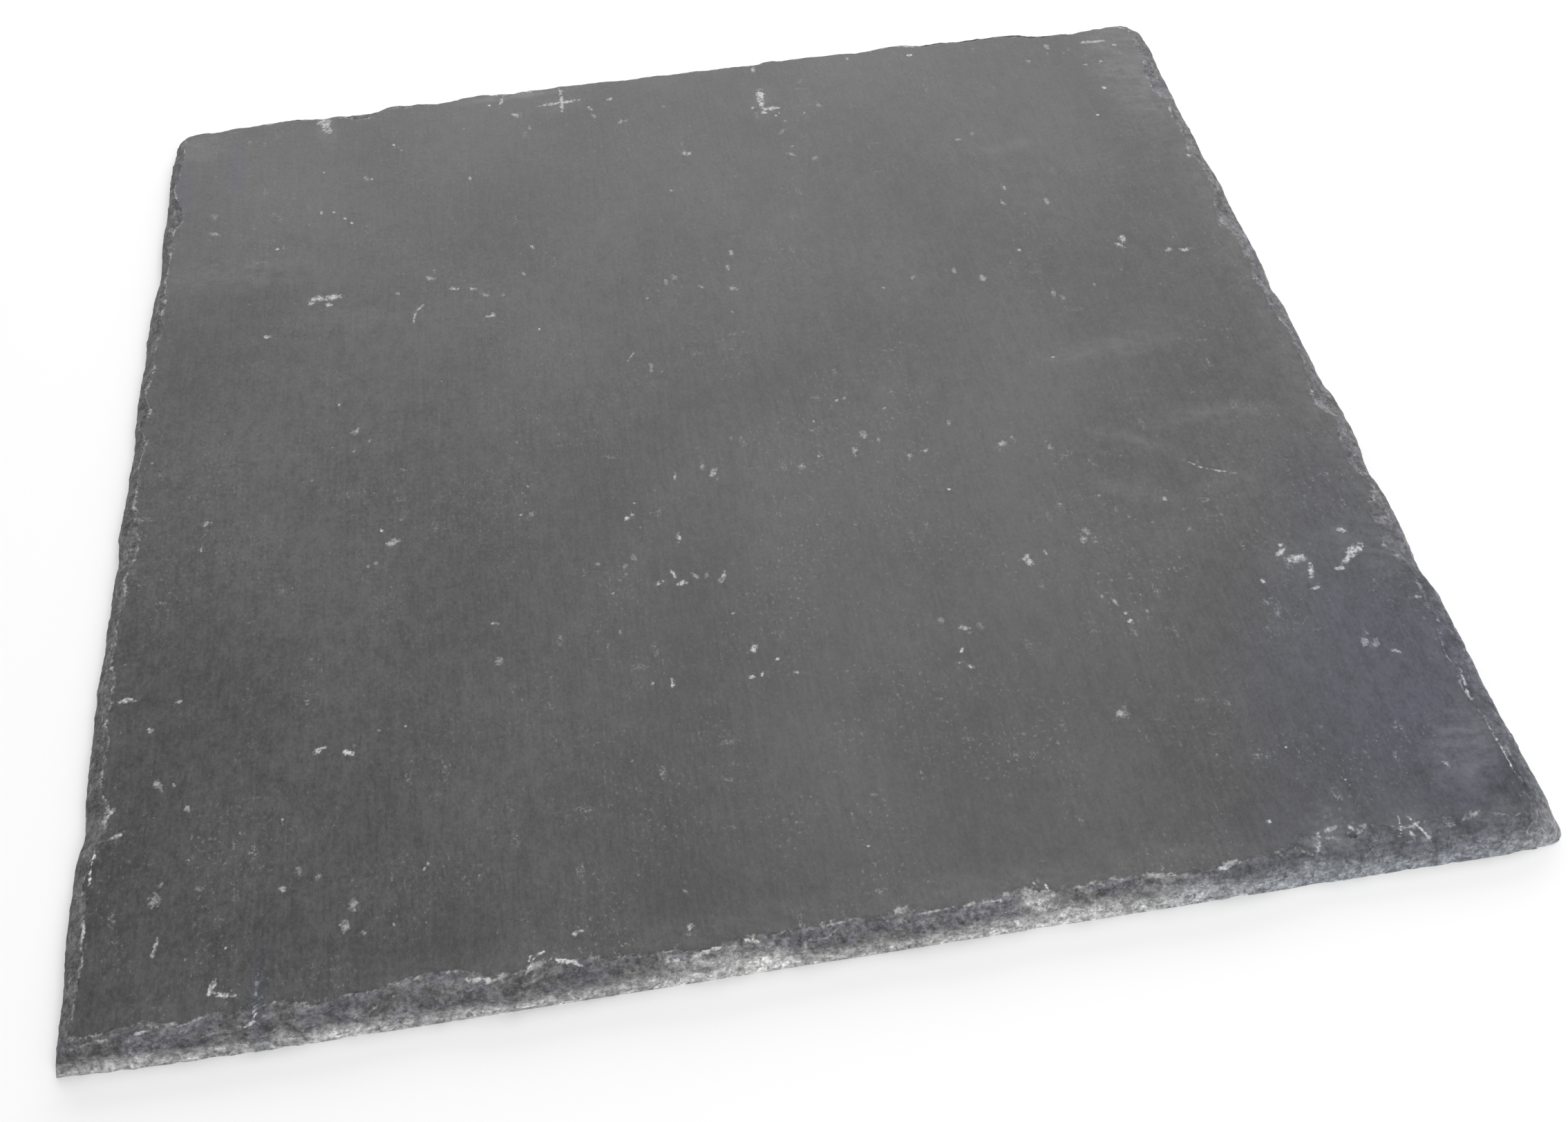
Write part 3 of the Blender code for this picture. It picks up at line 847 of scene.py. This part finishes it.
class Shader:
    """A material's node tree, with short calls for the nodes used here."""

    def __init__(self, name):
        self.material = bpy.data.materials.new(name)
        self.material.use_nodes = True
        self.tree = self.material.node_tree
        self.surface = self.tree.nodes["Principled BSDF"]
        self.place = self.tree.nodes.new("ShaderNodeTexCoord").outputs["Object"]
        split = self.tree.nodes.new("ShaderNodeSeparateXYZ")
        self.tree.links.new(self.place, split.inputs[0])
        _x, self.y, self.z = split.outputs

    def put(self, socket, value):
        """Links a socket to an input, or sets the input to a number or colour."""
        if isinstance(value, bpy.types.NodeSocket):
            self.tree.links.new(value, socket)
        elif isinstance(value, tuple):
            socket.default_value = (*value, 1.0)
        else:
            socket.default_value = value

    def maths(self, operation, a, b=0.0):
        node = self.tree.nodes.new("ShaderNodeMath")
        node.operation = operation
        self.put(node.inputs[0], a)
        self.put(node.inputs[1], b)
        return node.outputs[0]

    def add(self, *terms):
        total = terms[0]
        for term in terms[1:]:
            total = self.maths("ADD", total, term)
        return total

    def times(self, *factors):
        total = factors[0]
        for factor in factors[1:]:
            total = self.maths("MULTIPLY", total, factor)
        return total

    def most(self, a, b):
        return self.maths("MAXIMUM", a, b)

    def ramp(self, value, low, high, from_value=0.0, to_value=1.0):
        """Smoothly from one number to another as the value goes from low to high."""
        node = self.tree.nodes.new("ShaderNodeMapRange")
        node.interpolation_type = "SMOOTHSTEP"
        self.put(node.inputs["Value"], value)
        for name, number in zip(("From Min", "From Max", "To Min", "To Max"),
                                (low, high, from_value, to_value)):
            self.put(node.inputs[name], number)
        return node.outputs["Result"]

    def mix(self, share, a, b, blend="MIX"):
        node = self.tree.nodes.new("ShaderNodeMix")
        node.data_type = "RGBA"
        node.blend_type = blend
        self.put(node.inputs[0], share)
        self.put(node.inputs[6], a)
        self.put(node.inputs[7], b)
        return node.outputs[2]

    def stretched(self, grain_mm, turn=0.0):
        """Coordinates in which one unit is one grain, which may differ along X, Y and Z."""
        node = self.tree.nodes.new("ShaderNodeMapping")
        node.vector_type = "TEXTURE"
        self.put(node.inputs["Vector"], self.place)
        node.inputs["Rotation"].default_value = (0.0, 0.0, math.radians(turn))
        node.inputs["Scale"].default_value = [size * MM for size in grain_mm]
        return node.outputs["Vector"]

    def noise(self, grain_mm, detail=2.0, roughness=0.5, turn=0.0):
        node = self.tree.nodes.new("ShaderNodeTexNoise")
        self.put(node.inputs["Vector"], self.stretched(grain_mm, turn))
        node.inputs["Scale"].default_value = 1.0
        node.inputs["Detail"].default_value = detail
        node.inputs["Roughness"].default_value = roughness
        return node.outputs["Fac"]

    def spots(self, grain_mm, held, largest, turn=0.0):
        """Scattered spots: one cell in so many holds one, and each has its own size."""
        node = self.tree.nodes.new("ShaderNodeTexVoronoi")
        node.voronoi_dimensions = "2D"
        self.put(node.inputs["Vector"], self.stretched((*grain_mm, 1.0), turn))
        node.inputs["Scale"].default_value = 1.0
        split = self.tree.nodes.new("ShaderNodeSeparateColor")
        self.put(split.inputs[0], node.outputs["Color"])
        chosen = self.maths("LESS_THAN", split.outputs[0], held)
        radius = self.ramp(split.outputs[1], 0.0, 1.0, 0.4 * largest, largest)
        near = self.ramp(self.maths("DIVIDE", node.outputs["Distance"], radius), 0.5, 1.0, 1.0, 0.0)
        return self.times(chosen, near)

    def attribute(self, name):
        node = self.tree.nodes.new("ShaderNodeAttribute")
        node.attribute_name = name
        return node.outputs["Fac"]


def slate_material():
    """Matt dark slate: grain, specks, chalky scuffs, rubbed pale patches, painted light and shade, and
    edges of broken stone with dust on them.
    """
    s = Shader("slate")
    clouds = s.noise((48.0, 60.0, 48.0), 4.0, 0.6)
    lines = s.noise((0.9, 14.0, 0.9), 3.0, 0.7)
    blotches = s.noise((3.0, 5.0, 3.0), 5.0, 0.7)
    grain = s.noise((0.9, 1.3, 0.9), 4.0, 0.75)
    crumbs = s.noise((0.7, 0.7, 0.7), 3.0, 0.65)
    bands = s.noise((3.4, 3.4, 1.3), 5.0, 0.7)
    flakes = s.noise((1.2, 1.2, 0.8), 4.0, 0.75)
    shards = s.noise((4.5, 4.5, 2.2), 4.0, 0.65)
    broken = s.attribute("broken")
    whole = s.maths("SUBTRACT", 1.0, broken)

    # The cleaved face.
    tone = s.add(s.times(clouds, 0.7), s.times(lines, 0.35), s.times(blotches, 0.8), s.times(grain, 0.9))
    tone = s.ramp(tone, 0.98, 1.78, 0.40, 1.62)
    stone = s.mix(s.attribute("blue"), SLATE, BLUE_SLATE)
    face = s.mix(1.0, stone, tone, "MULTIPLY")

    # The broken edge: flaky stone, with dust in bands along it, most of it low on the wall.
    purple = s.times(s.attribute("tint"), s.ramp(s.noise((9.0, 9.0, 3.0), 3.0, 0.6), 0.40, 0.60))
    tinted = s.mix(purple, BROKEN_SLATE, PURPLE_SLATE)
    tinted = s.mix(s.attribute("blue"), tinted, BLUE_BROKEN)
    mottle = s.times(s.ramp(flakes, 0.30, 0.70, 0.45, 1.6), s.ramp(shards, 0.38, 0.62, 0.72, 1.35))
    # The broken edge: flaky stone, with dust in bands along it, and paler low on the wall, partly dust
    # and partly painted light bounced up from the floor.
    flaked = s.mix(1.0, tinted, s.times(mottle, s.attribute("light")), "MULTIPLY")
    low = s.ramp(s.add(s.z, s.times(bands, 3.0 * MM)), 1.8 * MM, 6.4 * MM, 1.15, 0.0)
    amount = s.add(s.times(s.attribute("dust"), 0.6), s.times(low, 0.6), s.times(bands, 0.9))
    dust_and_floor_light = s.ramp(s.add(amount, s.times(flakes, 0.45)), 0.95, 1.90)
    pale = s.mix(s.attribute("dust"), GREY_DUST, PALE_DUST)
    pale = s.mix(s.attribute("blue"), pale, BLUE_DUST)
    lumps = s.ramp(s.noise((2.4, 2.4, 1.2), 4.0, 0.6), 0.30, 0.70, 0.58, 1.36)
    cracks = s.ramp(s.noise((1.3, 1.3, 1.8), 4.0, 0.75), 0.37, 0.43, 0.50, 1.0)
    # Painted highlights: the glints brighten the flake edges of the dust-covered stone.
    glints = s.ramp(s.noise((2.2, 2.2, 0.9), 3.0, 0.65), 0.57, 0.63, 0.92, 1.50)
    grit_and_glints = s.times(s.ramp(crumbs, 0.3, 0.7, 0.65, 1.35), cracks, lumps, glints)
    pale = s.mix(1.0, pale, grit_and_glints, "MULTIPLY")
    edge = s.mix(dust_and_floor_light, flaked, pale)
    clean = s.times(s.attribute("blue"), s.ramp(s.z, 3.9 * MM, 5.4 * MM), 0.65)
    colour = s.mix(s.times(broken, s.maths("SUBTRACT", 1.0, clean)), face, edge)

    # Crushed stone along the rim and on the crests between the chips.
    line = s.most(s.attribute("crushed"), s.times(s.attribute("crest"), broken, 0.7))
    patchy = s.ramp(s.noise((6.0, 6.0, 6.0), 3.0, 0.7), 0.40, 0.66)
    line = s.ramp(s.add(s.times(line, patchy), s.times(crumbs, 2.0)), 1.2, 2.2)
    colour = s.mix(s.times(line, 0.5), colour, PALE_DUST)

    # Haze and scuffs: haze is soft and cloudy, and a scuff is made of crumbs. The haze also holds
    # painted light: a paler strip along the right side, where the face is lit more.
    wisps = s.noise((7.0, 3.4, 7.0), 5.0, 0.72, -12.0)
    haze_and_light = s.times(s.attribute("haze_and_light"), s.ramp(wisps, 0.34, 0.68, 0.15, 1.0))
    chalky = s.mix(s.attribute("blue"), CHALK, BLUE_CHALK)
    colour = s.mix(s.times(haze_and_light, 0.14), colour, chalky)
    clumps = s.noise((1.0, 1.0, 1.0), 2.0, 0.55)
    chalk = s.ramp(s.add(s.attribute("chalk"), s.times(clumps, 1.9)), 1.15, 1.75)
    chalk = s.times(chalk, s.attribute("pale"), s.ramp(crumbs, 0.35, 0.62, 0.7, 3.2))
    chalk = s.times(chalk, s.ramp(s.attribute("chalk"), 0.0, 0.15))

    # Faint specks, dots and short dashes, crowded towards the front.
    front = s.ramp(s.y, -0.13, 0.12, 1.0, 0.5)
    crowd = s.times(front, s.ramp(s.noise((14.0, 18.0, 14.0), 3.0, 0.6), 0.42, 0.64, 0.0, 1.3), whole)
    powder = s.times(s.ramp(s.noise((0.8, 1.2, 0.8), 3.0, 0.6), 0.56, 0.76), 0.18)
    dots = s.times(s.spots((9.0, 9.0), 0.2, 0.060), s.ramp(crumbs, 0.42, 0.62), 0.5)
    dashes = s.times(s.spots((4.0, 10.0), 0.14, 0.28, 4.0), s.ramp(crumbs, 0.45, 0.66), 0.26)
    ticks = s.times(s.spots((10.0, 4.0), 0.12, 0.26, -8.0), s.ramp(crumbs, 0.45, 0.66), 0.22)
    specks = s.times(s.most(s.most(powder, dots), s.most(dashes, ticks)), crowd)
    colour = s.mix(s.add(chalk, specks), colour, chalky)
    # Painted shade: the pits are darkened towards near black.
    hollow = s.times(s.attribute("pit_shade"), s.ramp(flakes, 0.30, 0.60, 0.20, 0.65))
    colour = s.mix(hollow, colour, PIT_SHADE_COLOUR)
    s.put(s.surface.inputs["Base Color"], colour)

    roughness = s.ramp(s.add(grain, blotches), 0.7, 1.3, 0.42, 0.52)
    roughness = s.add(roughness, s.times(s.most(chalk, broken), 0.25))
    s.put(s.surface.inputs["Roughness"], roughness)
    s.surface.inputs["Specular IOR Level"].default_value = 0.5
    s.surface.inputs["Metallic"].default_value = 0.0

    relief = s.add(s.times(lines, 0.25), s.times(grain, 0.45), s.times(blotches, 0.5))
    relief = s.add(relief, s.times(broken, s.add(s.times(flakes, 2.6), s.times(crumbs, 1.6))))
    bump = s.tree.nodes.new("ShaderNodeBump")
    bump.inputs["Strength"].default_value = 0.6
    bump.inputs["Distance"].default_value = 0.20 * MM
    s.put(bump.inputs["Height"], relief)
    s.put(s.surface.inputs["Normal"], bump.outputs["Normal"])
    return s.material


# ---------------------------------------------------------------- floor, light and camera


FLOOR_SIZE = 8.0
# The floor lies this far under the slab, so that the two never share a plane.
FLOOR_GAP = 0.00002
LENS = 38.53
CAMERA_PLACE = (-0.0237, -0.3008, 0.2996)
CAMERA_TURN_DEGREES = (40.414, 1.861, -8.843)
# Each soft light: its name, bearing, rise, distance, size and brightness.
SOFTBOXES = [
    ("sweep", 0, 22, 2.0, (3.0, 0.8), 3.2),
    ("key", 18, 60, 1.6, (1.0, 1.0), 3.05),
    ("fill", 150, 45, 1.8, (1.2, 1.0), 3.9),
]


def plain_floor():
    bpy.ops.mesh.primitive_plane_add(size=FLOOR_SIZE, location=(0.0, 0.0, -FLOOR_GAP))
    floor = bpy.context.object
    floor.name = "floor"
    s = Shader("floor")
    s.surface.inputs["Base Color"].default_value = (0.94, 0.94, 0.94, 1.0)
    s.surface.inputs["Roughness"].default_value = 0.9
    s.surface.inputs["Specular IOR Level"].default_value = 0.1
    floor.data.materials.append(s.material)


def softbox(name, bearing, rise, distance, size, brightness):
    """A rectangular light that faces the slab, seen from it at a bearing from +Y and a rise."""
    turn = math.radians(bearing)
    lift = math.radians(rise)
    level = math.cos(lift)
    place = distance * Vector((math.sin(turn) * level, math.cos(turn) * level, math.sin(lift)))
    lamp = bpy.data.lights.new(name, "AREA")
    lamp.shape = "RECTANGLE"
    lamp.size, lamp.size_y = size
    lamp.energy = brightness * math.pi * size[0] * size[1]
    light = bpy.data.objects.new(name, lamp)
    light.location = place
    light.rotation_euler = (-place).to_track_quat("-Z", "Y").to_euler()
    bpy.context.scene.collection.objects.link(light)


def studio_light():
    world = bpy.data.worlds.new("studio")
    world.use_nodes = True
    background = world.node_tree.nodes["Background"]
    background.inputs["Color"].default_value = (1.0, 1.0, 1.0, 1.0)
    background.inputs["Strength"].default_value = 0.35
    bpy.context.scene.world = world
    for light in SOFTBOXES:
        softbox(*light)
    bpy.context.scene.view_settings.view_transform = "Standard"


def photo_camera():
    data = bpy.data.cameras.new("camera")
    data.sensor_width = 36.0
    data.lens = LENS
    data.clip_start = 0.01
    camera = bpy.data.objects.new("camera", data)
    camera.location = CAMERA_PLACE
    camera.rotation_euler = [math.radians(a) for a in CAMERA_TURN_DEGREES]
    bpy.context.scene.collection.objects.link(camera)
    bpy.context.scene.camera = camera


photo_camera()
studio_light()
plain_floor()
stone = slab_object()
stone.data.materials.append(slate_material())
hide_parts("slate_slab")
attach(stone, "root")
